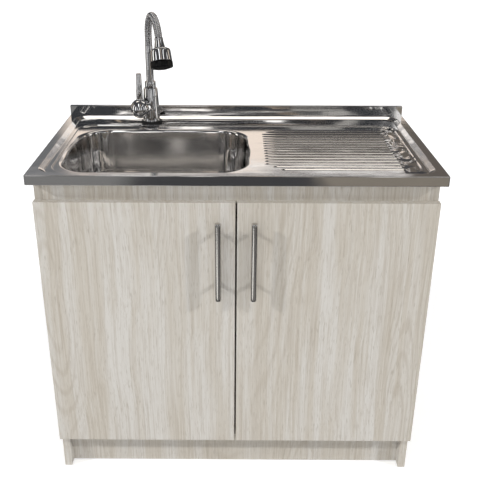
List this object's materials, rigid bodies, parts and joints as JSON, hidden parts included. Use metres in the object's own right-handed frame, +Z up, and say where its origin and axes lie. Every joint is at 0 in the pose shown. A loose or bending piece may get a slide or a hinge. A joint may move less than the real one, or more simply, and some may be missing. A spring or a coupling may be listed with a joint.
{
  "type": "kitchen sink unit",
  "caption": "Oak-look base cabinet with two hinged doors, a pressed stainless top with bowl and drainer, and a single-lever tap with a ribbed flexible spout.",
  "frame": {"origin": "on the floor under the middle of the unit's bounding box", "axes": "+X to the right as seen from the front, +Y to the back (wall side), +Z up"},
  "size_m": [0.9, 0.527, 1.0895],
  "materials": {
    "oak": "matt oak-look melamine",
    "white_board": "matt white board",
    "steel": "satin pressed stainless steel",
    "brushed": "brushed",
    "hardware": "zinc plated",
    "chrome": "polished",
    "black_rubber": "matt",
    "black_plastic": "satin",
    "grey_plastic": "satin",
    "white_plastic": "satin",
    "brass": "turned"
  },
  "bodies": {
    "cabinet": {"side_panel_left": "oak", "side_panel_right": "oak", "bottom_panel": "oak", "back_panel": "white_board", "front_rail": "oak", "rear_rail": "oak", "toe_kick": "oak", "carcass_screws": "hardware", "floor_glides": "grey_plastic", "sink_top": "steel", "seal_strips": "black_rubber", "sink_clips": "hardware", "clip_screws": "hardware", "drain_body": "steel", "drain_gasket": "black_rubber", "drain_nut": "white_plastic", "tailpiece": "white_plastic", "tailpiece_nut": "white_plastic", "hinge_arms": "hardware", "hinge_plates": "hardware", "plate_screws": "hardware", "tap_gasket": "black_rubber", "tap_body": "chrome", "tap_shank": "brass", "tap_washer": "black_rubber", "tap_nut": "brass", "inlet_tails": "brass", "cartridge": "white_plastic", "cartridge_collar": "chrome", "neck_collar": "chrome"},
    "left_door": {"door_left": "oak", "hinge_cups_left": "hardware", "hinge_pins_left": "hardware", "door_bumpers_left": "white_plastic", "handle_bar_left": "brushed", "handle_posts_left": "brushed", "handle_caps_left": "brushed", "handle_screws_left": "hardware"},
    "right_door": {"door_right": "oak", "hinge_cups_right": "hardware", "hinge_pins_right": "hardware", "door_bumpers_right": "white_plastic", "handle_bar_right": "brushed", "handle_posts_right": "brushed", "handle_caps_right": "brushed", "handle_screws_right": "hardware"},
    "strainer": {"strainer_basket": "steel"},
    "spout": {"neck_tube": "chrome", "hose_ferrule": "chrome", "neck_hose": "chrome", "spray_bell": "chrome"},
    "spray_selector": {"spray_rim": "black_plastic", "spray_face": "black_plastic"},
    "valve_carrier": {"cartridge_carrier": "brass", "lever_pin": "brass"},
    "lever": {"lever_cap": "chrome", "lever_spindle": "brass", "lever_sleeve": "chrome", "lever_rod": "chrome"}
  },
  "joints": [
    {"name": "left_door_hinge", "type": "hinge", "parent": "cabinet", "child": "left_door", "pos_m": [-0.4328, -0.22, 0.193], "axis": [0, 0, -1], "range_deg": [0, 95]},
    {"name": "right_door_hinge", "type": "hinge", "parent": "cabinet", "child": "right_door", "pos_m": [0.4328, -0.22, 0.193], "axis": [0, 0, 1], "range_deg": [0, 95]},
    {"name": "strainer_lift", "type": "slide", "parent": "cabinet", "child": "strainer", "axis": [0, 0, 1], "range_m": [0, 0.03]},
    {"name": "spout_swivel", "type": "hinge", "parent": "cabinet", "child": "spout", "pos_m": [-0.224, 0.2085, 0.8008], "axis": [0, 0, 1], "range_deg": [-108, 72]},
    {"name": "spray_selector_twist", "type": "hinge", "parent": "spout", "child": "spray_selector", "pos_m": [-0.17865, 0.07296, 0.97039], "axis": [-0.1137, 0.3398, 0.9336], "range_deg": [0, 60]},
    {"name": "temperature_turn", "type": "hinge", "parent": "cabinet", "child": "valve_carrier", "pos_m": [-0.25016, 0.18234, 0.8434], "axis": [-0.7071, -0.7071, 0], "range_deg": [-45, 45]},
    {"name": "flow_tilt", "type": "hinge", "parent": "valve_carrier", "child": "lever", "pos_m": [-0.25016, 0.18234, 0.8434], "axis": [0.7071, -0.7071, 0], "range_deg": [0, 15]}
  ]
}
